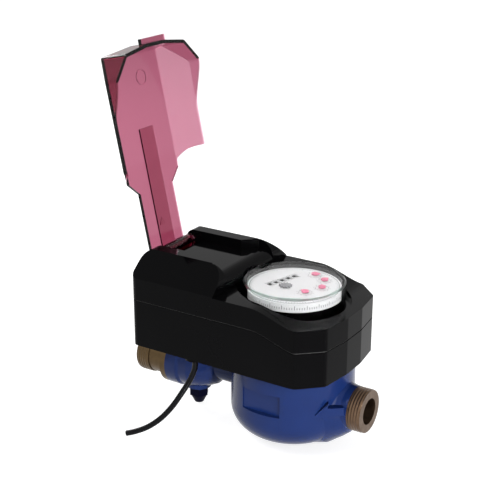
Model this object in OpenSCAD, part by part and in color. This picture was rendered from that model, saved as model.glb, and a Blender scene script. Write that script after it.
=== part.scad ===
// Valve controlled water meter with a black case, a tinted lid and a cast body.
// Millimetres, +Z up, +X along the pipe, origin on the pipe axis at the meter end face.

/* [Case] */
// Half of the width of the case
case_half_w = 43; // [42.5:0.5:45]
// Wall thickness of the case shells
case_wall = 2.4; // [2:0.1:2.6]
// Height of the case underside above the pipe axis
case_floor_z = 25.3; // [25.3:0.1:25.8]
// Height of the deck beside the raised block
deck_high_z = 69.6; // [69:0.2:70]
// Height of the deck at the rounded end
deck_low_z = 61.6; // [60.6:0.2:62.6]
// Height of the upper cover skirt below the deck
skirt_h = 14; // [12:0.5:15]
// Height of the raised block above the deck
block_h = 14.7; // [14.4:0.1:16.4]

/* [Lid] */
// How far the open lid stands back from closed, in degrees
lid_open = 102; // [95:1:104]
// Wall thickness of the lid
lid_wall = 2.2; // [1.8:0.1:2.4]
// Half of the width of the neck of the lid
neck_half_w = 17.2; // [16:0.2:17.4]
// Radius of the hinge pin
hinge_pin_r = 1.5; // [1.2:0.1:1.8]

/* [Body] */
// Outside radius of the bowl
bowl_r = 38.5; // [38:0.1:39]
// Depth of the bowl foot below the pipe axis
foot_depth = 24.5; // [23.5:0.5:26]
// Radius over the pipe threads
thread_r = 13.22; // [12.9:0.02:13.4]
// Radius of the water passage
bore_r = 7.5; // [7:0.1:7.8]
// Radius of the bores at both pipe ends
end_bore_r = 8.2; // [7.8:0.1:8.6]
// Distance of the meter end face from the bowl axis
meter_end_x = 53; // [52:1:58]
// Distance of the valve end face from the bowl axis
valve_end_x = 112; // [112:1:116]

/* [Register] */
// Outside radius of the register glass
glass_r = 31.1; // [30.8:0.1:31.3]
// Height of the top of the register glass
glass_top_z = 73.9; // [73.5:0.1:75]
// Turn of the dial about its axis, in degrees
dial_turn = -17; // [-17:1:-13]
// Length of the red pointers
pointer_len = 3.4; // [2.6:0.2:3.6]

/* [Cable] */
// Diameter of the cable
cable_d = 3.6; // [3:0.2:4]

/* [Hidden] */
$fn = 96;

// Body and head stack
wall_body = 7;
bowl_round = 18;
fairing_z = -3.5;
arrow_h = 0.8;
arrow_tip = [29.5, -24.7, 0];
port_z = 2.5;
port_r = 5.6;
valve_x = -71;
chest_end_x = valve_x - 16;
end_thread = 9.5;
meter_thread = 9;
cavity_r = bowl_r - wall_body;
cavity_z = -16.5;
chamber_top_z = 22;
neck_wall = 3;
neck_r = cavity_r + neck_wall;
ring_w = 3.2;
ring_gap = 0.3;
ring_r = min(neck_r + ring_w, case_half_w - case_wall - ring_gap);

// Plan of the case: straight sides, one square end and one rounded octagon end
case_left_x = -91.5;
nose_gap = 1.4;
case_right_x = ring_r + nose_gap + case_wall;
corner_x = case_right_x - 16.8;
shoulder_x = case_right_x - 2.9;
shoulder_drop = 13.2;
corner_dir = [shoulder_drop, shoulder_x - corner_x] / norm([shoulder_drop, shoulder_x - corner_x]);
corner_screw = (ring_r + corner_dir * [corner_x, case_half_w]) / 2 * corner_dir;
nose_y = 9;
corner_round = 4;
glass_gap = 0.4;
mouth_r = glass_r + 1.3;
well_r = glass_r + 3.7;
well_z = 57;
well_t = 1.6;
block_end_x = 1.4 - mouth_r;
block_fillet = 12;
block_half_w = case_half_w - 17;
block_top_z = deck_high_z + block_h;
bevel_drop = block_h - 0.7;
left_round = 6;
ramp_start = -6;
ramp_end = 27;
ramp_steps = 12;
gasket_h = 0.7;
channel_half_w = 17.7;
channel_depth = 5.5;
channel_z = block_top_z - channel_depth;
channel_roll = block_h - channel_depth - 1.2;
flare_left_x = block_end_x - 18;
flare_right_x = block_end_x - 10;
strip_half_w = 7;
strip_t = 1;
mark_h = 0.3;
hinge_x = case_left_x + 3.1;
hinge_z = block_top_z - 7;
pocket_right_x = hinge_x + 11.4;
pocket_z = hinge_z - 8.7;
sill_z = hinge_z - 4.8;
lid_gap = 0.4;
wide = 200;

// Head, register and inner pieces
neck_top_z = 33;
floor_t = 3;
ball_r = 10.4;
chamber_r = cavity_r - 3.5;
impeller_r = chamber_r - 8.5;
movement_z = 55;
movement_t = 1.5;
plate_top_z = 37;
ring_top_z = 40;
glass_t = 2;
glass_wall = 2.35;
dial_z = 68.9;
dial_t = 0.8;
cup_gap = 0.35;
cup_r = glass_r - glass_wall - cup_gap;
cup_wall = 2;
dial_skirt = 1.2;
dial_skirt_z = dial_z - 4.5;
drum_r = 4;
drum_w = 4.4;
drum_pitch = 5;
drum_row = -10.5;
drum_z = dial_z - 4.5;
pointer_spots = [[-3.5, 20.5], [7, 18.5], [14.5, 9], [13, -3.5]];
indicator_spot = [-1.5, -6];
pointer_hub_r = 2.2;
board_z = 50.5;
inside_left_x = case_left_x + 11.5;
board_x = inside_left_x + 1;
board_l = 36;
board_t = 1.6;
sensor_x = -47;
battery_r = 11;
battery_end_x = -46;
battery_y = case_half_w - battery_r - 5;
board_edge_y = battery_y - battery_r - 4;
post_spots = [[-76.5, 6.6 - case_half_w], [-45, 13 - case_half_w], [-54.5, board_edge_y - 2.5],
    [-45, board_edge_y - 2.5]];
screw_spots = [for (side = [1, -1]) each [[case_left_x + 7.5, side * (case_half_w - 8)],
    [corner_screw.x, side * corner_screw.y]]];

// Cable route from the gland to the cut end
gland_drop = 3.3;
cable_exit = [-50.5, 9 - case_half_w, case_floor_z - gland_drop];
route = [for (step = [[0, 0, 0], [0.5, -0.5, -6], [-1.5, -3.5, -14], [-4.5, -9, -22], [-8, -14, -29.5],
    [-13.5, -18.5, -37], [-20.5, -22.5, -43], [-28, -25.5, -47], [-33.5, -27.5, -49]]) cable_exit + step];

// Smooth step from 0 to 1
function ease(t) = t * t * (3 - 2 * t);
// Deck height along the case
function deck_z(x) = x <= ramp_start ? deck_high_z
    : x >= ramp_end ? deck_low_z
    : deck_high_z + (deck_low_z - deck_high_z) * ease((x - ramp_start) / (ramp_end - ramp_start));
// Points of the deck curve from left to right, moved up by dz
function deck_curve(dz, x0, x1) = concat([[x0, deck_z(x0) + dz]],
    [for (i = [0:ramp_steps]) let (x = ramp_start + (ramp_end - ramp_start) * i / ramp_steps)
        [x, deck_z(x) + dz]],
    [[x1, deck_z(x1) + dz]]);
function reversed(list) = [for (i = [len(list) - 1:-1:0]) list[i]];
// Arc points about a centre
function arc(c, r, a0, a1, n) = [for (i = [0:n]) let (a = a0 + (a1 - a0) * i / n) c + r * [cos(a), sin(a)]];
// Outward normal of the edge from a to b of a counterclockwise outline
function edge_normal(a, b) = [b.y - a.y, a.x - b.x] / norm(b - a);
// Outline moved inward by d
function inset(p, d) = [for (i = [0:len(p) - 1])
    let (n = len(p), a = edge_normal(p[(i + n - 1) % n], p[i]), b = edge_normal(p[i], p[(i + 1) % n]))
    p[i] - d * (a + b) / (1 + a * b)];
// Arc that rounds the corner b of a counterclockwise outline between a and c
function corner_arc(a, b, c, r) = let (u = (a - b) / norm(a - b), v = (c - b) / norm(c - b),
    half = acos(u * v) / 2, centre = b + (u + v) / norm(u + v) * r / sin(half),
    from = b + u * r / tan(half) - centre)
    arc(centre, r, atan2(from.y, from.x), atan2(from.y, from.x) + 180 - 2 * half, 4);
// Plan outline of the case from x0 to the rounded end
function plan_points(x0) = let (p = [[x0, -case_half_w], [corner_x, -case_half_w],
    [shoulder_x, shoulder_drop - case_half_w], [case_right_x, -nose_y], [case_right_x, nose_y],
    [shoulder_x, case_half_w - shoulder_drop], [corner_x, case_half_w], [x0, case_half_w]], n = len(p))
    [for (i = [0:n - 1]) each corner_arc(p[(i + n - 1) % n], p[i], p[(i + 1) % n], corner_round)];
// Cross section of the block and the lid
function bevel_points(low) = [[-case_half_w, low], [case_half_w, low],
    [case_half_w, block_top_z - bevel_drop], [block_half_w, block_top_z],
    [-block_half_w, block_top_z], [-case_half_w, block_top_z - bevel_drop]];
// Plan outline of the lid neck, flared to the width of the block top, grown by g
function neck_points(x0, g, x1) = [[x0, -neck_half_w - g], [flare_left_x - g, -neck_half_w - g],
    [flare_right_x - g, -block_half_w - g], [x1, -block_half_w - g], [x1, block_half_w + g],
    [flare_right_x - g, block_half_w + g], [flare_left_x - g, neck_half_w + g], [x0, neck_half_w + g]];
// Side outline of the upper cover: seam below, deck and block above
function cover_side_points() = concat(
    deck_curve(gasket_h / 2 - skirt_h, case_left_x, wide),
    reversed([for (p = deck_curve(0, block_end_x, wide)) p]),
    arc([block_end_x - block_fillet, block_top_z - block_fillet], block_fillet, 0, 90, 8),
    arc([case_left_x + left_round, block_top_z - left_round], left_round, 90, 180, 6));

// Side outline of the space above the lid channel, rolled over at the block end
function channel_side_points() = concat(
    [[case_left_x - 5, channel_z]],
    reversed(arc([block_end_x - channel_roll, channel_z - channel_roll], channel_roll, 0, 90, 8)),
    [[block_end_x, deck_high_z], [wide, deck_high_z], [wide, 120], [case_left_x - 5, 120]]);

module in_frame() {
    translate([-meter_end_x, 0, 0]) children();
}

// Prism along Y from an outline in X and Z
module side_prism(points) {
    translate([0, wide / 2, 0]) rotate([90, 0, 0]) linear_extrude(wide) polygon(points);
}

// Prism along X from an outline in Y and Z
module end_prism(points) {
    translate([-wide, 0, 0]) rotate([90, 0, 90]) linear_extrude(2 * wide) polygon(points);
}

module plan_prism(points, z0, z1) {
    translate([0, 0, z0]) linear_extrude(z1 - z0) polygon(points);
}

module tube(r_out, r_in, z0, z1) {
    translate([0, 0, z0]) difference() {
        cylinder(r = r_out, h = z1 - z0);
        translate([0, 0, -1]) cylinder(r = r_in, h = z1 - z0 + 2);
    }
}

module along_x(x0, x1, r) {
    translate([x0, 0, 0]) rotate([0, 90, 0]) cylinder(r = r, h = x1 - x0);
}

module along_y(x, z, half, r) {
    translate([x, half, z]) rotate([90, 0, 0]) cylinder(r = r, h = 2 * half);
}

// Revolved about the pipe axis from [x, radius] points
module pipe_turned(points) {
    rotate([0, 90, 0]) rotate_extrude()
        polygon(concat([[0, points[0].x]], [for (p = points) [p.y, p.x]], [[0, points[len(points) - 1].x]]));
}

// Raised arrow between the bowl and the spigot, on the front side
module flow_arrow() {
    turn = 37.9;
    depth = 12;
    translate(arrow_tip) rotate([0, 0, turn]) translate([0, depth, 0]) rotate([90, 0, 0])
        linear_extrude(depth + arrow_h)
            polygon([[0, 2], [8, -2.5], [7.4, 1], [17.2, 1], [17.2, 6.2], [7.4, 6.2], [8, 9.5]]);
}

// Cast body: bowl, meter spigot, neck and valve chest
module meter_body() {
    bowl_low = -foot_depth;
    color("royalblue") in_frame() difference() {
        union() {
            rotate_extrude() polygon(concat([[0, bowl_low], [bowl_r - bowl_round, bowl_low]],
                arc([bowl_r - bowl_round, bowl_low + 0.3 + bowl_round], bowl_round, -80, 0, 12),
                [[bowl_r, case_floor_z], [neck_r, case_floor_z], [neck_r, neck_top_z], [0, neck_top_z]]));
            intersection() {
                union() {
                    pipe_turned([[10, 28], [28, 23.5], [31, 20], [34, 17.2], [37, 15.2], [40, 14],
                        [meter_end_x - meter_thread, 13.5]]);
                    translate([0, 0, fairing_z]) pipe_turned([[10, 28], [30, 22], [34, 19],
                        [38, 16.2], [42, 12.8], [meter_end_x - meter_thread, 9.6]]);
                }
                translate([0, -40, 1 - foot_depth]) cube([80, 80, foot_depth + case_floor_z - 3]);
            }
            along_x(meter_end_x - meter_thread - 1, meter_end_x, thread_r);
            flow_arrow();
            translate([valve_x, 0, 0]) pipe_turned([[chest_end_x - valve_x, 16.5], [-8, 16.5],
                [-6, 15.4], [0, 15.6], [7, 14], [13, 11.6], [17, 9.6], [20, 6]]);
            translate([0, 0, port_z]) along_x(valve_x + 13, wall_body - bowl_r, port_r + 3);
            translate([valve_x, 0, -15.7]) cylinder(r = 8.2, h = 12);
            translate([valve_x, 0, 8]) cylinder(r = 9, h = case_floor_z - 8.4);
        }
        translate([0, 0, cavity_z]) cylinder(r = cavity_r, h = 80);
        along_x(0, meter_end_x + 1, end_bore_r);
        translate([0, 0, port_z]) along_x(valve_x + 11, 0, port_r);
        along_x(chest_end_x - 1, valve_x + 13.4, 11);
        along_x(chest_end_x - 1, valve_x - 10, 12.4);
        translate([valve_x, 0, 0]) cylinder(r = 4.05, h = 40);
        translate([valve_x, 0, 16]) cylinder(r = 6, h = 20);
        translate([valve_x, 0, -20]) cylinder(r = 4.6, h = 20);
        translate([-14, -bowl_r - 13, 0]) cube([26, 16.4, 14]);
    }
}

// Brass end piece screwed into the valve chest
module end_piece() {
    color("darkgoldenrod") in_frame() difference() {
        union() {
            along_x(chest_end_x - 1, valve_x - 10.4, 12.35);
            along_x(chest_end_x - 4, chest_end_x, 16.4);
            along_x(end_thread - valve_end_x, chest_end_x - 3, 12.7);
            along_x(-valve_end_x, end_thread - valve_end_x, thread_r);
        }
        along_x(-valve_end_x - 1, valve_x - 5, end_bore_r);
    }
}

// Ball of the shut-off valve, drawn open
module valve_ball() {
    color("silver") in_frame() translate([valve_x, 0, 0]) difference() {
        sphere(r = ball_r);
        along_x(-20, 20, bore_r);
        translate([-1.6, -4.2, ball_r - 2]) cube([3.2, 8.4, 5]);
    }
}

// Stem that turns the ball
module valve_stem() {
    color("goldenrod") in_frame() translate([valve_x, 0, 0]) {
        translate([0, 0, ball_r + 0.2]) cylinder(r = 4, h = 21.4);
        translate([-1.5, -3.4, ball_r - 1.8]) cube([3, 6.8, 2.6]);
        translate([-1.6, -3.2, 30]) cube([3.2, 6.4, 6]);
    }
}

module ball_seats() {
    color("white") in_frame() for (side = [-1, 1])
        translate([valve_x, 0, 0]) rotate([0, 90 * side, 0]) difference() {
            translate([0, 0, 6]) cylinder(r = 10.9, h = side > 0 ? 7.4 : 4.4);
            sphere(r = ball_r + 0.05);
            cylinder(r = bore_r, h = 30);
        }
}

module stem_seal() {
    color("dimgray") in_frame() translate([valve_x, 0, 0]) tube(5.95, 4.04, 16, 22);
}

// Plug under the valve chest, six flats above a coned tip
module valve_plug() {
    color("navy") in_frame() translate([valve_x, 0, 0]) {
        translate([0, 0, -15.7]) cylinder(r = 4.55, h = 4);
        translate([0, 0, -22]) cylinder(r = 6.6, h = 6.3, $fn = 6);
        translate([0, 0, -27.5]) cylinder(r1 = 3, r2 = 5.7, h = 5.5);
    }
}

// Cup that turns the water into jets round the impeller
module measuring_chamber() {
    color("ivory") in_frame() difference() {
        translate([0, 0, cavity_z]) cylinder(r = chamber_r, h = chamber_top_z - cavity_z);
        tube(chamber_r - 4, 6, cavity_z - 1, -11);
        translate([0, 0, -5]) cylinder(r = impeller_r + 2, h = 40);
        for (i = [0:9]) rotate([0, 0, 36 * i]) {
            translate([chamber_r - 16, chamber_r / 2, -3]) cube([20, 3.4, 6]);
            translate([chamber_r - 16, -chamber_r / 2 - 3.4, 9]) cube([20, 3.4, 6]);
        }
        translate([0, 0, -9.5]) cylinder(r = 1, h = 20);
    }
}

module strainer() {
    color("gainsboro") in_frame() difference() {
        tube(cavity_r - 1.1, cavity_r - 2.1, cavity_z, chamber_top_z - 0.2);
        for (i = [0:17], z = [-8, 1, 10]) rotate([0, 0, 20 * i + 5]) translate([20, -2, z]) cube([20, 4, 6]);
    }
}

module chamber_cover() {
    color("ivory") in_frame() {
        tube(cavity_r - 0.9, 3, chamber_top_z, chamber_top_z + 3);
        tube(chamber_r - 4, chamber_r - 7, chamber_top_z + 3, chamber_top_z + 5);
    }
}

// Seven bladed wheel with its magnet cap
module impeller() {
    color("steelblue") in_frame() difference() {
        union() {
            translate([0, 0, -3]) cylinder(r = 4, h = 20);
            for (i = [0:6]) rotate([0, 0, 360 / 7 * i])
                translate([2, -0.7, -2]) cube([impeller_r - 2, 1.4, 13]);
            translate([0, 0, 15]) cylinder(r = 8, h = 5);
        }
        translate([0, 0, -6]) cylinder(r = 1.06, h = 12);
    }
}

module impeller_pin() {
    color("silver") in_frame() translate([0, 0, -9.5]) cylinder(r = 1, h = 15);
}

module pressure_plate() {
    color("wheat") in_frame() {
        translate([0, 0, chamber_top_z + 5])
            cylinder(r = cavity_r - 0.3, h = neck_top_z + 1.2 - chamber_top_z - 5);
        translate([0, 0, neck_top_z + 1]) cylinder(r = neck_r - 0.5, h = plate_top_z - neck_top_z - 1);
    }
}

module head_gasket() {
    color("black") in_frame() tube(neck_r - 0.5, cavity_r + 0.2, neck_top_z, neck_top_z + 1);
}

// Ring nut that holds the head down and clamps the case floor
module head_ring() {
    color("dimgray") in_frame() difference() {
        translate([0, 0, case_floor_z + floor_t])
            cylinder(r = ring_r, h = ring_top_z - case_floor_z - floor_t);
        cylinder(r = neck_r + 0.05, h = plate_top_z);
        cylinder(r = neck_r - 8.5, h = 80);
        for (i = [0:11]) rotate([0, 0, 30 * i]) translate([ring_r + 0.4, 0, 20]) cylinder(r = 1.5, h = 30);
    }
}

// Dark body of the register, with a ledge for the movement
module register_cup() {
    color("dimgray") in_frame() difference() {
        union() {
            translate([0, 0, ring_top_z]) cylinder(r = glass_r, h = 3);
            translate([0, 0, ring_top_z]) cylinder(r = cup_r, h = dial_skirt_z - ring_top_z);
            translate([0, 0, ring_top_z]) cylinder(r = cup_r - dial_skirt - 0.1, h = dial_z - ring_top_z);
        }
        translate([0, 0, ring_top_z + 1.4]) cylinder(r = cup_r - cup_wall - 1.4, h = 60);
        translate([0, 0, movement_z]) cylinder(r = cup_r - cup_wall, h = 60);
    }
}

module follower_magnet() {
    color("darkslategray") in_frame() {
        translate([0, 0, ring_top_z + 2]) cylinder(r = 8, h = 4);
        translate([0, 0, ring_top_z + 6]) cylinder(r = 1, h = movement_z - ring_top_z - 2);
    }
}

module movement_plate() {
    color("khaki") in_frame() difference() {
        translate([0, 0, movement_z]) cylinder(r = cup_r - cup_wall - 0.3, h = movement_t);
        translate([0, 0, movement_z - 5]) cylinder(r = 1.08, h = 20);
        rotate([0, 0, dial_turn]) for (s = concat(pointer_spots, [indicator_spot]))
            translate([s.x, s.y, movement_z - 5]) cylinder(r = 0.88, h = 20);
    }
}

// Holder of the number wheels, standing on the movement plate
module counter_frame() {
    color("lightgray") in_frame() rotate([0, 0, dial_turn]) difference() {
        union() for (side = [-1, 1])
            translate([drum_row - 3, side * 14.4 - 0.8, movement_z + movement_t])
                cube([6, 1.6, dial_z - movement_z - movement_t - 0.1]);
        along_y(drum_row, drum_z, 20, 1);
    }
}

module counter_shaft() {
    color("silver") in_frame() rotate([0, 0, dial_turn]) along_y(drum_row, drum_z, 15, 1);
}

module number_wheel(i) {
    color("whitesmoke") in_frame() rotate([0, 0, dial_turn])
        translate([0, (i - 3) * drum_pitch, 0]) difference() {
        along_y(drum_row, drum_z, drum_w / 2, drum_r);
        along_y(drum_row, drum_z, drum_w, 1.06);
    }
}

// Dial with its skirt, the counter windows and the arbor holes
module dial_plate() {
    color("white") in_frame() rotate([0, 0, dial_turn]) difference() {
        union() {
            translate([0, 0, dial_z]) cylinder(r = cup_r, h = dial_t);
            tube(cup_r, cup_r - dial_skirt, dial_skirt_z, dial_z + 0.1);
        }
        for (i = [1:5]) translate([drum_row - 2.6, (i - 3) * drum_pitch - 1.9, dial_z - 1])
            cube([5.2, 3.8, 4]);
        for (s = concat(pointer_spots, [indicator_spot])) translate([s.x, s.y, dial_z - 1])
            cylinder(r = 0.88, h = 4);
    }
}

module pointer(i) {
    color("crimson") in_frame() rotate([0, 0, dial_turn])
        translate([pointer_spots[i - 1].x, pointer_spots[i - 1].y, 0]) rotate([0, 0, 47 * i]) {
            translate([0, 0, movement_z + 0.2]) cylinder(r = 0.8, h = dial_z + 2 - movement_z);
            translate([0, 0, dial_z + 1.3]) cylinder(r = pointer_hub_r, h = 0.8);
            translate([0, 0, dial_z + 1.4]) linear_extrude(0.6)
                polygon([[0, -pointer_hub_r + 0.3], [pointer_len, 0], [0, pointer_hub_r - 0.3]]);
        }
}

// Star wheel that shows small flows
module flow_indicator() {
    color("gray") in_frame() rotate([0, 0, dial_turn]) translate([indicator_spot.x, indicator_spot.y, 0]) {
        translate([0, 0, movement_z + 0.2]) cylinder(r = 0.8, h = dial_z + 1.8 - movement_z);
        translate([0, 0, dial_z + 1.3]) linear_extrude(0.7) polygon(
            [for (k = [0:23]) (k % 2 == 0 ? 4.2 : 2.9) * [cos(15 * k), sin(15 * k)]]);
    }
}

// Clear cup over the register
module register_glass() {
    color("lightcyan", 0.4) in_frame() rotate_extrude() polygon([
        [cup_r + cup_gap, ring_top_z + 3], [glass_r, ring_top_z + 3],
        [glass_r, glass_top_z - 0.8], [glass_r - 0.8, glass_top_z], [0, glass_top_z],
        [0, glass_top_z - glass_t], [cup_r + cup_gap, glass_top_z - glass_t]]);
}

// Bottom shell of the case
module lower_case() {
    color("black") in_frame() difference() {
        union() {
            intersection() {
                plan_prism(plan_points(case_left_x), case_floor_z, 100);
                side_prism(concat([[-wide, 0], [wide, 0]],
                    reversed(deck_curve(-skirt_h - gasket_h / 2, -wide, wide))));
                difference() {
                    cube(4 * wide, center = true);
                    plan_prism(inset(plan_points(case_left_x), case_wall), case_floor_z + floor_t, 120);
                }
            }
            intersection() {
                plan_prism(inset(plan_points(case_left_x), case_wall / 2), case_floor_z, 100);
                side_prism(concat([[-wide, 0], [wide, 0]],
                    reversed(deck_curve(-skirt_h - gasket_h / 2, -wide, wide))));
                for (s = screw_spots) translate([s.x, s.y, case_floor_z]) cylinder(r = 3.4, h = 60);
            }
            for (s = post_spots) translate([s.x, s.y, case_floor_z + 1])
                cylinder(r = 2, h = board_z - case_floor_z - 1);
        }
        translate([0, 0, case_floor_z - 1]) cylinder(r = neck_r + 0.3, h = 20);
        translate([valve_x, 0, case_floor_z - 1]) cylinder(r = 9.4, h = 20);
        translate([route[0].x, route[0].y, case_floor_z - 1]) cylinder(r = 4, h = 20);
        for (s = screw_spots) translate([s.x, s.y, case_floor_z - 1]) {
            cylinder(r = 1.65, h = 60);
            cylinder(r = 3, h = 4);
        }
    }
}

// Inner space of the upper cover, kept clear of the lid channel
module cover_hollow() {
    difference() {
        intersection() {
            plan_prism(inset(plan_points(case_left_x), case_wall), 0, 120);
            side_prism(concat(deck_curve(-skirt_h - 5, case_left_x, wide),
                reversed(deck_curve(-case_wall, block_end_x - case_wall, wide)),
                [[block_end_x - case_wall, block_top_z - block_fillet - case_wall],
                [block_end_x - block_fillet, block_top_z - case_wall],
                [case_left_x, block_top_z - case_wall]]));
            end_prism(inset(bevel_points(0), case_wall));
        }
        translate([case_left_x, -channel_half_w - case_wall, channel_z - case_wall])
            cube([-case_left_x, 2 * (channel_half_w + case_wall), 60]);
        translate([flare_left_x - case_wall, -block_half_w - 3, channel_z - case_wall])
            cube([wide, 2 * block_half_w + 6, 60]);
        translate([block_end_x - channel_roll - 2, -block_half_w - 3, deck_high_z - case_wall])
            cube([wide, 2 * block_half_w + 6, 60]);
        translate([case_left_x, -channel_half_w - case_wall, pocket_z - case_wall])
            cube([pocket_right_x - case_left_x + case_wall, 2 * (channel_half_w + case_wall), 60]);
        for (s = screw_spots) translate([s.x, s.y, 0]) cylinder(r = 3.4, h = 120);
        tube(well_r + well_t, glass_r + glass_gap, well_z, 120);
    }
}

// Top shell of the case with the raised block, the lid channel and the well of the register
module upper_cover() {
    color("black") in_frame() difference() {
        intersection() {
            plan_prism(plan_points(case_left_x), 0, 120);
            side_prism(cover_side_points());
            end_prism(bevel_points(0));
        }
        cover_hollow();
        cylinder(r = glass_r + glass_gap, h = 120);
        translate([0, 0, well_z + well_t]) cylinder(r = mouth_r, h = 60);
        intersection() {
            translate([0, 0, well_z + well_t]) cylinder(r = well_r, h = 60);
            translate([block_end_x, -wide, 0]) cube(2 * wide);
        }
        intersection() {
            side_prism(channel_side_points());
            plan_prism(neck_points(case_left_x - 5, channel_half_w - neck_half_w, wide), 0, 120);
        }
        translate([case_left_x - 5, -channel_half_w, sill_z])
            cube([pocket_right_x - case_left_x + 5, 2 * channel_half_w, 60]);
        translate([case_left_x + case_wall, -channel_half_w, pocket_z])
            cube([pocket_right_x - case_left_x - case_wall, 2 * channel_half_w, 60]);
        along_y(hinge_x, hinge_z, 23, hinge_pin_r);
        for (s = screw_spots) translate([s.x, s.y, 0]) cylinder(r = 1.58, h = deck_z(s.x) - 4);
    }
}

module case_gasket() {
    color("dimgray") in_frame() difference() {
        intersection() {
            plan_prism(inset(plan_points(case_left_x), 0.6), 0, 120);
            side_prism(concat(deck_curve(-skirt_h - gasket_h / 2, -wide, wide),
                reversed(deck_curve(-skirt_h + gasket_h / 2, -wide, wide))));
        }
        plan_prism(inset(plan_points(case_left_x), case_wall - 0.3), 0, 120);
    }
}

module case_screws() {
    color("silver") in_frame() for (s = screw_spots) translate([s.x, s.y, case_floor_z + 0.8]) {
        difference() {
            cylinder(r = 2.8, h = 2.2);
            translate([0, 0, -1]) cylinder(r = 1.4, h = 2.2, $fn = 6);
        }
        cylinder(r = 1.5, h = deck_z(s.x) - skirt_h + 7 - case_floor_z);
    }
}

module hinge_pin() {
    color("silver") in_frame() along_y(hinge_x, hinge_z, 22.5, hinge_pin_r);
}

// Side outline of the lid head, cut to the rolled block at one end and sloped at the other
function lid_side_points() = concat(
    deck_curve(lid_gap, block_end_x + lid_gap, case_right_x + 1),
    [[case_right_x + 1, block_top_z - 12.3], [case_right_x - 5.2, block_top_z]],
    reversed(arc([block_end_x - block_fillet, block_top_z - block_fillet],
        block_fillet + lid_gap, 0, 74, 8)));
// Side outline of the lid hollow, open at the block end and below
function lid_hollow_points() = [[-wide, 0], [case_right_x + 1 - lid_wall, 0],
    [case_right_x + 1 - lid_wall, block_top_z - 13.1],
    [case_right_x - 6.1, block_top_z - lid_wall], [-wide, block_top_z - lid_wall]];

// Head of the lid as a shell
module lid_head() {
    difference() {
        intersection() {
            plan_prism(plan_points(-wide), 0, 120);
            side_prism(lid_side_points());
            end_prism(bevel_points(0));
        }
        intersection() {
            plan_prism(inset(plan_points(-wide), lid_wall), 0, 120);
            side_prism(lid_hollow_points());
            end_prism(inset(bevel_points(0), lid_wall));
        }
    }
}

// Lid as it lies when closed
module lid_closed() {
    plate_z = block_top_z - lid_wall;
    difference() {
        union() {
            lid_head();
            plan_prism(neck_points(hinge_x - 3, 0, block_end_x), plate_z, block_top_z);
            translate([hinge_x, -strip_half_w, plate_z - strip_t])
                cube([-10 - hinge_x, 2 * strip_half_w, strip_t + 0.5]);
            along_y(hinge_x, hinge_z, neck_half_w, hinge_pin_r + 2.6);
            translate([hinge_x - 3, -neck_half_w, hinge_z])
                cube([6, 2 * neck_half_w, plate_z - hinge_z + 0.1]);
            translate([case_right_x - 2, -12, deck_low_z + 1]) cube([5.4, 24, 2.4]);
            translate([21, 5.5, 0]) tube(5, 4.4, plate_z - mark_h, plate_z + 0.5);
            translate([-70.5, -3, plate_z - strip_t - mark_h]) cylinder(r = 3, h = strip_t, $fn = 3);
        }
        along_y(hinge_x, hinge_z, 60, hinge_pin_r + 0.06);
        translate([0, 0, 30]) cylinder(r = mouth_r, h = glass_top_z + 0.6 - 30);
    }
}

// Tinted lid, drawn open
module lid() {
    color("palevioletred", 0.6) in_frame() translate([hinge_x, 0, hinge_z]) rotate([0, -lid_open, 0])
        translate([-hinge_x, 0, -hinge_z]) lid_closed();
}

module battery() {
    color("seagreen") in_frame() {
        translate([0, battery_y, case_floor_z + floor_t + battery_r]) {
            along_x(inside_left_x, battery_end_x, battery_r);
            along_x(battery_end_x, battery_end_x + 1.6, 4);
        }
    }
}

module circuit_board() {
    color("darkgreen") in_frame() {
        translate([board_x, 5 - case_half_w, board_z])
            cube([board_l, board_edge_y + case_half_w - 5, board_t]);
        translate([board_x + 3, -14, board_z + board_t]) cube([12, 12, 2]);
        translate([board_x + 13, -30, board_z + board_t]) cube([16, 10, 3]);
    }
}

// Pick-up that reads the turning magnet through the register wall
module pulse_sensor() {
    color("darkslategray") in_frame() translate([sensor_x, board_edge_y - 18, board_z - 4.5])
        cube([-glass_r - 1.9 - sensor_x, 12, 4.5]);
}

// Motor gearbox that turns the valve stem
module actuator() {
    color("gray") in_frame() difference() {
        union() {
            translate([inside_left_x, 9 - case_half_w, case_floor_z + floor_t])
                cube([23, board_edge_y + case_half_w - 9, 8.6]);
            translate([valve_x, -24, case_floor_z + floor_t + 8.6]) cylinder(r = 8, h = 12);
        }
        translate([valve_x, 0, case_floor_z]) cylinder(r = 6.8, h = 40);
    }
}

// Driven hub of the gearbox, keyed on the stem
module drive_coupling() {
    color("ivory") in_frame() translate([valve_x, 0, 0]) difference() {
        translate([0, 0, 33]) cylinder(r = 6.4, h = 8);
        translate([-1.65, -3.25, 32]) cube([3.3, 6.5, 4.05]);
    }
}

module cable_gland() {
    color("black") in_frame() translate([route[0].x, route[0].y, 0]) difference() {
        union() {
            translate([0, 0, cable_exit.z]) cylinder(r = 5.6, h = gland_drop);
            translate([0, 0, cable_exit.z + 2]) cylinder(r = 3.9, h = 7);
        }
        translate([0, 0, cable_exit.z + 4]) cylinder(r = 2.1, h = 20);
    }
}

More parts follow.
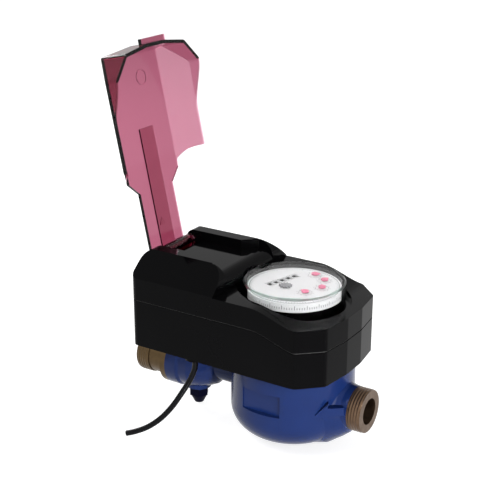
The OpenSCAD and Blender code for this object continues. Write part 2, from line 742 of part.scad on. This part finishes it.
// Point at u along the cable route, smooth through every route point
function spline(a, b, c, d, t) = 0.5 * (2 * b + (c - a) * t + (2 * a - 5 * b + 4 * c - d) * t * t
    + (3 * b - a - 3 * c + d) * t * t * t);
function route_at(u) = let (n = len(route), i = min(floor(u), n - 2))
    spline(route[max(i - 1, 0)], route[i], route[i + 1], route[min(i + 2, n - 1)], u - i);
cable_sides = 8;
cable_rings = 2 * (len(route) - 1);
cable_path = [for (k = [0:cable_rings]) route_at(k / 2)];
function unit(v) = v / norm(v);
function cable_dir(k) = k == 0 ? [0, 0, -1] : unit(cable_path[min(k + 1, cable_rings)] - cable_path[k - 1]);
function cable_ring(k) = let (d = cable_dir(k), s = unit(cross(d, [0, 1, 0.2])), t = cross(d, s))
    [for (j = [0:cable_sides - 1]) let (a = 360 * j / cable_sides)
        cable_path[k] + cable_d / 2 * (cos(a) * s + sin(a) * t)];

module cable() {
    points = [for (k = [0:cable_rings]) each cable_ring(k)];
    faces = concat([[for (j = [0:cable_sides - 1]) j]],
        [for (k = [0:cable_rings - 1], j = [0:cable_sides - 1])
            let (m = (j + 1) % cable_sides, b = k * cable_sides)
            [b + j, b + cable_sides + j, b + cable_sides + m, b + m]],
        [[for (j = [cable_sides - 1:-1:0]) cable_rings * cable_sides + j]]);
    color("black") in_frame() polyhedron(points, faces);
}

meter_body();
end_piece();
valve_ball();
valve_stem();
ball_seats();
stem_seal();
valve_plug();
measuring_chamber();
strainer();
chamber_cover();
impeller();
impeller_pin();
pressure_plate();
head_gasket();
head_ring();
register_cup();
follower_magnet();
movement_plate();
counter_frame();
counter_shaft();
number_wheel(1);  // number_wheel_1
number_wheel(2);  // number_wheel_2
number_wheel(3);  // number_wheel_3
number_wheel(4);  // number_wheel_4
number_wheel(5);  // number_wheel_5
dial_plate();
pointer(1);  // pointer_1
pointer(2);  // pointer_2
pointer(3);  // pointer_3
pointer(4);  // pointer_4
flow_indicator();
register_glass();
lower_case();
upper_cover();
case_gasket();
case_screws();
hinge_pin();
lid();
battery();
circuit_board();
pulse_sensor();
actuator();
drive_coupling();
cable_gland();
cable();
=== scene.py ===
"""Looks of the water meter: materials, dial print, threads, cable, light and camera."""
import math

import bmesh
import bpy
from mathutils import Matrix, Vector


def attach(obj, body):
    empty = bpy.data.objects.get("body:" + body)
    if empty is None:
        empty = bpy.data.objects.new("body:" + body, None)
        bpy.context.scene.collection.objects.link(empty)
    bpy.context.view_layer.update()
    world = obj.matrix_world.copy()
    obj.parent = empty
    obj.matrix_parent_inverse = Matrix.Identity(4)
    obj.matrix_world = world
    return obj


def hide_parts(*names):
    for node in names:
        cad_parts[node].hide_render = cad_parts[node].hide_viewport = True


MM = 0.001
BOWL_X = -53.0
ROOT = "meter"

# Sockets of a Mix node that mixes colours
MIX_A, MIX_B, MIX_RESULT = 6, 7, 2
NOISE_LOW, NOISE_HIGH = 0.3, 0.7

# The dial and its counter, in millimetres about the bowl axis
DIAL_TURN = math.radians(-17)
DIAL_TOP = 69.7
POINTER_SPOTS = [(-3.5, 20.5), (7, 18.5), (14.5, 9), (13, -3.5)]
DRUM_ROW, DRUM_Z, DRUM_R, DRUM_PITCH = -10.5, 64.4, 4.0, 5.0
WHEELS = range(1, 6)
MIDDLE_WHEEL = 3
SHOWN_DIGITS = (0, 0, 3, 1, 6)
RIM_R, RIM_LOW = 29.0, 71.0

# The print on the dial, on the number wheels and round the register drum
PRINT_LIFT = 0.03
DIAL_RING = (26.9, 27.2)
DIAL_SCALE = {"r": 26.6, "count": 100, "long_every": 10, "width": 0.18, "short": 1.0, "long": 1.9}
SMALL_RING = (4.0, 4.15)
SMALL_SCALE = {"r": 4.0, "count": 10, "long_every": 5, "width": 0.16, "short": 0.5, "long": 0.8}
FIGURE_STEP = 36
SMALL_FIGURE_R, SMALL_FIGURE_SIZE, WHEEL_FIGURE_SIZE = 4.9, 1.2, 3.6
WINDOW_HALF_W, WINDOW_HALF_H, WINDOW_LINE = 2.2, 2.8, 0.08
CUP_SCALE_R, CUP_SCALE_Z = 28.43, 67.0
CUP_MARKS, CUP_LONG_EVERY = 120, 5
CUP_LONG_TOP, CUP_SHORT_TOP, CUP_MARK_LOW, CUP_MARK_HALF_W = -1.6, -0.4, 0.9, 0.14

# The pipe threads, each with its start, length and look
THREAD_R = 13.22
THREAD_PITCH = 1.814
THREAD_H = 0.3
THREAD_LIFT = 0.015
THREAD_PLAIN, THREAD_FADE = 0.3, 0.8
THREAD_SIDES, STEPS_PER_PITCH = 96, 18
# The valve end thread takes the darker brass copy, which is painted shade
THREAD_ENDS = (("meter_end_thread", 44.0, 9.0, "brass"), ("valve_end_thread", -112.0, 9.5, "end_brass_painted_shade"))
SPIGOT_START_X, SPIGOT_SLACK, BARE_BORE_R = -9.05, 0.1, 11.2

# Round edges of the mouldings, by node, and the angles that tell flat from sharp
EDGE_WIDTHS = {"lower_case": 0.5, "upper_cover": 0.6, "lid": 0.4}
FLAT_ANGLE, SHARP_ANGLE = math.radians(0.5), math.radians(28)

# The floor, the world and the lamps, in metres and watts
FLOOR_Z = -30.5 * MM
FLOOR_HALF = 6
FLOOR_GLOW = 0.75
WORLD_LIGHT, WORLD_WHITE = 0.45, 1.0
LAMP_TARGET = (-0.06, 0, 0.06)
SOFT_LAMPS = (
    ("key", (-0.5, -0.9, 1.1), 0.7, 9),
    ("side", (0.93, -0.48, 0.26), 1.0, 11),
    ("back", (-1.0, 0.4, 0.6), 0.7, 6),
)
LOW_LAMP_AT, LOW_LAMP_TARGET = (0.62, -0.46, 0.0), (-0.022, -0.03, -0.008)
LOW_LAMP_SIZE, LOW_LAMP_CONE, LOW_LAMP_BLEND, LOW_LAMP_POWER = 0.06, math.radians(5.4), 0.8, 130

# The cable, from the gland to the cut end, in millimetres about the bowl axis
CABLE_D = 3.6
STEPS_PER_SPAN = 4
CABLE_ROUTE = [(-50.5, -34, 22), (-50, -34.5, 16), (-52, -37.5, 8), (-55, -43, 0), (-58.5, -48, -7.5),
               (-64, -52.5, -15), (-71, -56.5, -21), (-78.5, -59.5, -25), (-84, -61.5, -27)]

# The camera of the photograph
CAMERA_AT = (0.26146, -0.5537, 0.32797)
CAMERA_TURN = (math.radians(70.21), 0, math.radians(32.55))
CAMERA_LENS, CAMERA_SENSOR = 85.3, 36


def spot(x, y, z):
    """Point in metres from millimetres about the bowl axis."""
    return Vector((x + BOWL_X, y, z)) * MM


def dial_matrix(x, y, z):
    """Frame of a place on the dial: its X reads to the right, its Y reads up."""
    turn = Matrix.Translation(spot(0, 0, 0)) @ Matrix.Rotation(DIAL_TURN, 4, "Z")
    return turn @ Matrix.Translation(Vector((x, y, z)) * MM) @ Matrix.Rotation(math.radians(90), 4, "Z")


def material(name, tint, shade, rough, grain, bump, **sockets):
    """Procedural surface: colour and roughness vary with noise, and fine noise gives the bump."""
    mat = bpy.data.materials.new(name)
    mat.use_nodes = True
    nodes, links = mat.node_tree.nodes, mat.node_tree.links
    surface = nodes["Principled BSDF"]
    place = nodes.new("ShaderNodeTexCoord")
    cloud = nodes.new("ShaderNodeTexNoise")
    cloud.inputs["Scale"].default_value = grain
    cloud.inputs["Detail"].default_value = 5
    links.new(place.outputs["Object"], cloud.inputs["Vector"])
    mix = nodes.new("ShaderNodeMix")
    mix.data_type = "RGBA"
    mix.inputs[MIX_A].default_value = (*tint, 1)
    mix.inputs[MIX_B].default_value = (*shade, 1)
    links.new(cloud.outputs["Fac"], mix.inputs["Factor"])
    links.new(mix.outputs[MIX_RESULT], surface.inputs["Base Color"])
    span = nodes.new("ShaderNodeMapRange")
    span.inputs["From Min"].default_value = NOISE_LOW
    span.inputs["From Max"].default_value = NOISE_HIGH
    span.inputs["To Min"].default_value = rough[0]
    span.inputs["To Max"].default_value = rough[1]
    links.new(cloud.outputs["Fac"], span.inputs["Value"])
    links.new(span.outputs["Result"], surface.inputs["Roughness"])
    bump_scale, bump_strength, bump_height = bump
    fine = nodes.new("ShaderNodeTexNoise")
    fine.inputs["Scale"].default_value = bump_scale
    fine.inputs["Detail"].default_value = 3
    links.new(place.outputs["Object"], fine.inputs["Vector"])
    relief = nodes.new("ShaderNodeBump")
    relief.inputs["Strength"].default_value = bump_strength
    relief.inputs["Distance"].default_value = bump_height * MM
    links.new(fine.outputs["Fac"], relief.inputs["Height"])
    links.new(relief.outputs["Normal"], surface.inputs["Normal"])
    for socket, value in sockets.items():
        surface.inputs[socket.replace("_", " ").title().replace("Ior", "IOR")].default_value = value
    return mat


def clear_material(name, rough, ior, absorb, density, coat=0.0):
    """Clear moulding, tinted by how much of it the light crosses."""
    mat = bpy.data.materials.new(name)
    mat.use_nodes = True
    nodes, links = mat.node_tree.nodes, mat.node_tree.links
    surface = nodes["Principled BSDF"]
    surface.inputs["Base Color"].default_value = (1, 1, 1, 1)
    surface.inputs["Transmission Weight"].default_value = 1
    surface.inputs["IOR"].default_value = ior
    surface.inputs["Coat Weight"].default_value = coat
    place = nodes.new("ShaderNodeTexCoord")
    cloud = nodes.new("ShaderNodeTexNoise")
    cloud.inputs["Scale"].default_value = 60
    links.new(place.outputs["Object"], cloud.inputs["Vector"])
    span = nodes.new("ShaderNodeMapRange")
    span.inputs["To Min"].default_value = rough[0]
    span.inputs["To Max"].default_value = rough[1]
    links.new(cloud.outputs["Fac"], span.inputs["Value"])
    links.new(span.outputs["Result"], surface.inputs["Roughness"])
    volume = nodes.new("ShaderNodeVolumeAbsorption")
    volume.inputs["Color"].default_value = (*absorb, 1)
    volume.inputs["Density"].default_value = density
    links.new(volume.outputs["Volume"], nodes["Material Output"].inputs["Volume"])
    return mat


def make_materials():
    return {
        "enamel": material("blue_enamel", (0.0043, 0.0128, 0.066), (0.0063, 0.0187, 0.088), (0.12, 0.22), 45,
                           (900, 0.3, 0.2), specular_ior_level=0.15),
        # The valve plug is the blue enamel of the body, made near black here as painted shade from the case
        # above it
        "plug": material("plug_painted_shade", (0.0005, 0.0007, 0.006), (0.001, 0.0012, 0.009), (0.3, 0.45), 60,
                         (1200, 0.3, 0.15), specular_ior_level=0.03),
        "brass": material("bare_brass", (0.146, 0.091, 0.056), (0.088, 0.057, 0.0375), (0.3, 0.48), 220,
                          (2500, 0.15, 0.08), metallic=1.0),
        # Darker copy of the bare brass for the valve end and its thread, as painted shade
        "end_brass_painted_shade": material("end_brass_painted_shade", (0.1, 0.065, 0.032), (0.06, 0.041, 0.021), (0.3, 0.48), 220,
                              (2500, 0.15, 0.08), metallic=1.0),
        "case": material("case_plastic", (0.001, 0.001, 0.0012), (0.002, 0.002, 0.0024), (0.04, 0.09), 30,
                         (1800, 0.03, 0.03), specular_ior_level=0.04),
        "white": material("white_plastic", (0.73, 0.73, 0.74), (0.69, 0.69, 0.7), (0.4, 0.55), 90,
                          (2500, 0.1, 0.05)),
        "ivory": material("chamber_plastic", (0.78, 0.74, 0.6), (0.72, 0.68, 0.55), (0.4, 0.55), 90,
                          (2500, 0.1, 0.05)),
        "red": material("red_plastic", (0.8, 0.17, 0.31), (0.74, 0.14, 0.27), (0.35, 0.5), 300,
                        (3000, 0.1, 0.05)),
        "grey": material("grey_plastic", (0.22, 0.22, 0.23), (0.16, 0.16, 0.17), (0.4, 0.55), 90,
                         (2500, 0.2, 0.08)),
        "steel": material("steel", (0.62, 0.62, 0.63), (0.52, 0.52, 0.54), (0.2, 0.35), 200,
                          (3000, 0.1, 0.05), metallic=1.0),
        "rubber": material("black_rubber", (0.012, 0.012, 0.012), (0.02, 0.02, 0.02), (0.5, 0.7), 150,
                           (2500, 0.3, 0.1)),
        "board": material("board_laminate", (0.02, 0.17, 0.06), (0.015, 0.12, 0.05), (0.3, 0.45), 200,
                          (3000, 0.15, 0.05)),
        "battery": material("battery_sleeve", (0.06, 0.26, 0.12), (0.05, 0.2, 0.1), (0.25, 0.35), 80,
                            (1500, 0.1, 0.05)),
        "jacket": material("cable_jacket", (0.002, 0.002, 0.0025), (0.004, 0.004, 0.005), (0.1, 0.18), 250,
                           (2200, 0.15, 0.05), specular_ior_level=0.1),
        "ink": material("dial_ink", (0.02, 0.02, 0.022), (0.04, 0.04, 0.045), (0.5, 0.6), 400,
                        (3000, 0.1, 0.02)),
        "lid": clear_material("tinted_lid", (0.01, 0.05), 1.24, (0.55, 0.0, 0.205), 815),
        "glass": clear_material("register_glass", (0.005, 0.03), 1.1, (0.9, 0.97, 0.95), 12, coat=0.2),
        "rim": clear_material("glass_rim", (0.35, 0.45), 1.1, (0.9, 0.97, 0.95), 12, coat=0.6),
    }


NODE_LOOKS = {
    "enamel": ["meter_body"],
    "plug": ["valve_plug"],
    "brass": ["valve_stem"],
    "end_brass_painted_shade": ["end_piece"],
    "case": ["lower_case", "upper_cover", "cable_gland", "register_cup"],
    "white": ["dial_plate", "counter_frame", "number_wheel_1", "number_wheel_2", "number_wheel_3",
              "number_wheel_4", "number_wheel_5", "ball_seats", "drive_coupling"],
    "ivory": ["measuring_chamber", "strainer", "chamber_cover", "impeller", "pressure_plate",
              "movement_plate"],
    "red": ["pointer_1", "pointer_2", "pointer_3", "pointer_4"],
    "grey": ["flow_indicator", "head_ring", "actuator", "pulse_sensor"],
    "steel": ["valve_ball", "impeller_pin", "counter_shaft", "case_screws", "hinge_pin", "follower_magnet"],
    "rubber": ["stem_seal", "head_gasket", "case_gasket"],
    "board": ["circuit_board"],
    "battery": ["battery"],
    "lid": ["lid"],
    "glass": ["register_glass"],
    "jacket": ["cable"],
}


def dress_nodes(nodes, looks):
    for look, names in NODE_LOOKS.items():
        for name in names:
            nodes[name].data.materials.clear()
            nodes[name].data.materials.append(looks[look])


def bare_spigot(body, brass):
    """The thread, the end face and the bore of the casting are bare metal."""
    body.data.materials.append(brass)
    for face in body.data.polygons:
        c = face.center / MM
        radius = math.hypot(c.y, c.z)
        threaded = c.x > SPIGOT_START_X and radius < THREAD_R + SPIGOT_SLACK
        bored = radius < BARE_BORE_R and face.normal.yz.dot(c.yz) < 0
        face.material_index = 1 if threaded or bored else 0


def frosted_rim(glass, rim):
    """The turned edge round the top of the register glass is dull."""
    glass.data.materials.append(rim)
    for face in glass.data.polygons:
        c = face.center / MM
        outside = math.hypot(c.x - BOWL_X, c.y) > RIM_R
        face.material_index = 1 if outside and c.z > RIM_LOW else 0


def soften_edges(obj, width):
    """Moulded edges are slightly round."""
    flat = obj.modifiers.new("flat", "DECIMATE")
    flat.decimate_type = "DISSOLVE"
    flat.angle_limit = FLAT_ANGLE
    edge = obj.modifiers.new("edge", "BEVEL")
    edge.width = width * MM
    edge.segments = 3
    edge.limit_method = "ANGLE"
    edge.angle_limit = SHARP_ANGLE
    edge.harden_normals = True


def new_piece(name, mesh, look, body):
    obj = bpy.data.objects.new(name, mesh)
    bpy.context.scene.collection.objects.link(obj)
    mesh.materials.append(look)
    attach(obj, body)
    return obj


def mesh_from(name, build):
    """Mesh made by a function that fills a bmesh."""
    bm = bmesh.new()
    build(bm)
    bmesh.ops.recalc_face_normals(bm, faces=bm.faces)
    mesh = bpy.data.meshes.new(name)
    bm.to_mesh(mesh)
    bm.free()
    return mesh


def add_text(bm, words, size, matrix):
    """Flat print of a few figures, centred on the matrix."""
    curve = bpy.data.curves.new("figures", "FONT")
    curve.body = words
    curve.size = size * MM
    curve.align_x = "CENTER"
    curve.align_y = "CENTER"
    curve.resolution_u = 3
    obj = bpy.data.objects.new("figures", curve)
    bpy.context.scene.collection.objects.link(obj)
    mesh = bpy.data.meshes.new_from_object(obj.evaluated_get(bpy.context.evaluated_depsgraph_get()))
    mesh.transform(matrix)
    bm.from_mesh(mesh)
    bpy.data.objects.remove(obj)
    bpy.data.curves.remove(curve)
    bpy.data.meshes.remove(mesh)


def add_band(bm, r_in, r_out, matrix, start=0.0, end=360.0, steps=72):
    """Flat ring, or part of one."""
    pairs = []
    for k in range(steps + 1):
        a = math.radians(start + (end - start) * k / steps)
        along = Vector((math.cos(a), math.sin(a), 0))
        pairs.append([bm.verts.new(matrix @ (along * r * MM)) for r in (r_in, r_out)])
    for a, b in zip(pairs, pairs[1:]):
        bm.faces.new((a[0], a[1], b[1], b[0]))


def add_bar(bm, x0, y0, x1, y1, matrix):
    corners = [(x0, y0), (x1, y0), (x1, y1), (x0, y1)]
    bm.faces.new([bm.verts.new(matrix @ (Vector((x, y, 0)) * MM)) for x, y in corners])


def add_ticks(bm, matrix, r, count, long_every, width, short, long):
    """Scale marks inside a circle."""
    for k in range(count):
        turn = matrix @ Matrix.Rotation(math.tau * k / count, 4, "Z")
        length = long if k % long_every == 0 else short
        add_bar(bm, r - length, -width / 2, r, width / 2, turn)


def wheel_place(number):
    """How far a number wheel is along its row."""
    return (number - MIDDLE_WHEEL) * DRUM_PITCH


def dial_print(bm):
    """Plain scales, figures and window frames of the dial."""
    print_z = DIAL_TOP + PRINT_LIFT
    face = dial_matrix(0, 0, print_z)
    add_band(bm, *DIAL_RING, face)
    add_ticks(bm, face, **DIAL_SCALE)
    for x, y in POINTER_SPOTS:
        small = dial_matrix(x, y, print_z)
        add_band(bm, *SMALL_RING, small, steps=48)
        add_ticks(bm, small, **SMALL_SCALE)
        for k in range(10):
            a = math.radians(90 - FIGURE_STEP * k)
            out = Vector((SMALL_FIGURE_R * math.cos(a), SMALL_FIGURE_R * math.sin(a), 0))
            add_text(bm, str(k), SMALL_FIGURE_SIZE, small @ Matrix.Translation(out * MM))
    frame_w, frame_h = WINDOW_HALF_W + WINDOW_LINE, WINDOW_HALF_H + WINDOW_LINE
    for number in WHEELS:
        window = dial_matrix(DRUM_ROW, wheel_place(number), print_z)
        for side in (-1, 1):
            x, y = side * WINDOW_HALF_W, side * WINDOW_HALF_H
            add_bar(bm, x - WINDOW_LINE, -frame_h, x + WINDOW_LINE, frame_h, window)
            add_bar(bm, -frame_w, y - WINDOW_LINE, frame_w, y + WINDOW_LINE, window)


def cup_print(bm):
    """Scale marks round the side of the register drum."""
    for k in range(CUP_MARKS):
        turn = Matrix.Translation(spot(0, 0, 0)) @ Matrix.Rotation(math.tau * k / CUP_MARKS, 4, "Z")
        side = turn @ Matrix.Translation(Vector((CUP_SCALE_R, 0, CUP_SCALE_Z)) * MM)
        upright = side @ Matrix.Rotation(math.radians(90), 4, "Y")
        top = CUP_LONG_TOP if k % CUP_LONG_EVERY == 0 else CUP_SHORT_TOP
        add_bar(bm, top, -CUP_MARK_HALF_W, CUP_MARK_LOW, CUP_MARK_HALF_W, upright)


def wheel_print(number):
    """Ten figures round one number wheel, the shown one on top."""
    def build(bm):
        centre = dial_matrix(DRUM_ROW, wheel_place(number), DRUM_Z)
        lift = Matrix.Translation((0, 0, (DRUM_R + PRINT_LIFT) * MM))
        for k in range(10):
            turn = Matrix.Rotation(math.radians(FIGURE_STEP * (k - SHOWN_DIGITS[number - 1])), 4, "X")
            add_text(bm, str(k), WHEEL_FIGURE_SIZE, centre @ turn @ lift)
    return build


def thread(x0, length):
    """Pipe thread standing on a plain spigot, faded at both ends."""
    along = round(length / THREAD_PITCH * STEPS_PER_PITCH)

    def build(bm):
        rows = []
        for j in range(along + 1):
            x = length * j / along
            from_end = min(x - THREAD_PLAIN, length - THREAD_PLAIN - x)
            fade = min(1.0, max(0.0, from_end / THREAD_FADE))
            ring = []
            for i in range(THREAD_SIDES):
                phase = (x / THREAD_PITCH + i / THREAD_SIDES) % 1.0
                r = THREAD_R + THREAD_LIFT + fade * THREAD_H * (1 - abs(2 * phase - 1))
                a = math.tau * i / THREAD_SIDES
                ring.append(bm.verts.new(spot(x0 + x, r * math.cos(a), r * math.sin(a))))
            rows.append(ring)
        for low, high in zip(rows, rows[1:]):
            for i in range(THREAD_SIDES):
                k = (i + 1) % THREAD_SIDES
                bm.faces.new((low[i], low[k], high[k], high[i]))
    return build


def make_print(looks):
    new_piece("dial_print", mesh_from("dial_print", dial_print), looks["ink"], ROOT)
    new_piece("cup_print", mesh_from("cup_print", cup_print), looks["ink"], ROOT)
    for number in WHEELS:
        name = f"wheel_figures_{number}"
        figures = mesh_from(name, wheel_print(number))
        new_piece(name, figures, looks["ink"], f"number_wheel_{number}")


def make_threads(looks):
    for name, x0, length, look in THREAD_ENDS:
        new_piece(name, mesh_from(name, thread(x0, length)), looks[look], ROOT)


def route_point(points, u):
    """Smooth curve through every route point."""
    i = min(int(u), len(points) - 2)
    t = u - i
    a, b, c, d = (Vector(points[min(max(k, 0), len(points) - 1)]) for k in range(i - 1, i + 3))
    square, cube = 2 * a - 5 * b + 4 * c - d, 3 * b - a - 3 * c + d
    return 0.5 * (2 * b + (c - a) * t + square * t ** 2 + cube * t ** 3)


def make_cable(looks):
    steps = STEPS_PER_SPAN * (len(CABLE_ROUTE) - 1)
    path = [spot(*route_point(CABLE_ROUTE, k / STEPS_PER_SPAN)) for k in range(steps + 1)]
    curve = bpy.data.curves.new("cable_run", "CURVE")
    curve.dimensions = "3D"
    curve.bevel_depth = CABLE_D / 2 * MM
    curve.bevel_resolution = 6
    curve.use_fill_caps = True
    line = curve.splines.new("POLY")
    line.points.add(steps)
    for point, place in zip(line.points, path):
        point.co = (*place, 1)
    line.use_smooth = True
    cable = bpy.data.objects.new("cable_run", curve)
    bpy.context.scene.collection.objects.link(cable)
    curve.materials.append(looks["jacket"])
    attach(cable, ROOT)
    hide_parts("cable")


def seen_rays(nodes, links):
    """One for rays that show the backdrop: straight, mirrored or through glass."""
    path = nodes.new("ShaderNodeLightPath")
    seen = path.outputs["Is Camera Ray"]
    for ray in ("Is Glossy Ray", "Is Transmission Ray"):
        most = nodes.new("ShaderNodeMath")
        most.operation = "MAXIMUM"
        links.new(seen, most.inputs[0])
        links.new(path.outputs[ray], most.inputs[1])
        seen = most.outputs[0]
    return seen


def floor_sheet(bm):
    bmesh.ops.create_grid(bm, x_segments=1, y_segments=1, size=FLOOR_HALF)


def pale_floor():
    mesh = mesh_from("floor", floor_sheet)
    floor = bpy.data.objects.new("floor", mesh)
    floor.location.z = FLOOR_Z
    bpy.context.scene.collection.objects.link(floor)
    look = material("pale_floor", (0.52, 0.52, 0.52), (0.5, 0.5, 0.5), (0.7, 0.8), 3, (50, 0.02, 0.1))
    nodes, links = look.node_tree.nodes, look.node_tree.links
    glow = nodes.new("ShaderNodeMath")
    glow.operation = "MULTIPLY"
    glow.inputs[1].default_value = FLOOR_GLOW
    links.new(seen_rays(nodes, links), glow.inputs[0])
    nodes["Principled BSDF"].inputs["Emission Color"].default_value = (1, 1, 1, 1)
    links.new(glow.outputs[0], nodes["Principled BSDF"].inputs["Emission Strength"])
    mesh.materials.append(look)


def white_world():
    """White for what the camera and the reflections see, softer as light."""
    world = bpy.data.worlds.new("studio")
    bpy.context.scene.world = world
    world.use_nodes = True
    nodes, links = world.node_tree.nodes, world.node_tree.links
    level = nodes.new("ShaderNodeMapRange")
    level.inputs["To Min"].default_value = WORLD_LIGHT
    level.inputs["To Max"].default_value = WORLD_WHITE
    links.new(seen_rays(nodes, links), level.inputs["Value"])
    links.new(level.outputs["Result"], nodes["Background"].inputs["Strength"])
    nodes["Background"].inputs["Color"].default_value = (1, 1, 1, 1)


def aim_light(name, light, place, target):
    obj = bpy.data.objects.new(name, light)
    obj.location = place
    obj.rotation_euler = (Vector(target) - Vector(place)).to_track_quat("-Z", "Y").to_euler()
    bpy.context.scene.collection.objects.link(obj)


def soft_lamp(name, place, size, power):
    light = bpy.data.lights.new(name, "AREA")
    light.shape = "DISK"
    light.size = size
    light.energy = power
    aim_light(name, light, place, LAMP_TARGET)


def low_lamp():
    """Narrow lamp on the bowl and the meter end."""
    light = bpy.data.lights.new("low", "SPOT")
    light.shadow_soft_size = LOW_LAMP_SIZE
    light.spot_size = LOW_LAMP_CONE
    light.spot_blend = LOW_LAMP_BLEND
    light.energy = LOW_LAMP_POWER
    aim_light("low", light, LOW_LAMP_AT, LOW_LAMP_TARGET)


def make_stage():
    pale_floor()
    white_world()
    for lamp in SOFT_LAMPS:
        soft_lamp(*lamp)
    low_lamp()
    bpy.context.scene.view_settings.view_transform = "Standard"


def make_camera():
    camera = bpy.data.cameras.new("photo_view")
    camera.lens = CAMERA_LENS
    camera.sensor_width = CAMERA_SENSOR
    obj = bpy.data.objects.new("photo_view", camera)
    obj.location = CAMERA_AT
    obj.rotation_euler = CAMERA_TURN
    bpy.context.scene.collection.objects.link(obj)
    bpy.context.scene.camera = obj


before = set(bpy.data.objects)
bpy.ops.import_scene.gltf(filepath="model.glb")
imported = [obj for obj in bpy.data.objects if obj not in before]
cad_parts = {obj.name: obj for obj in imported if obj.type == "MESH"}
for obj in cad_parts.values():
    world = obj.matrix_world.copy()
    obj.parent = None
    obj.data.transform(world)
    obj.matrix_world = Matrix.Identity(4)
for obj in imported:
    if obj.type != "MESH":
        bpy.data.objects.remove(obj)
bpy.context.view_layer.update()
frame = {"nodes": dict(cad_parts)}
looks = make_materials()
dress_nodes(frame["nodes"], looks)
bare_spigot(frame["nodes"]["meter_body"], looks["brass"])
frosted_rim(frame["nodes"]["register_glass"], looks["rim"])
for name, width in EDGE_WIDTHS.items():
    soften_edges(frame["nodes"][name], width)
make_print(looks)
make_threads(looks)
make_cable(looks)
make_stage()
make_camera()
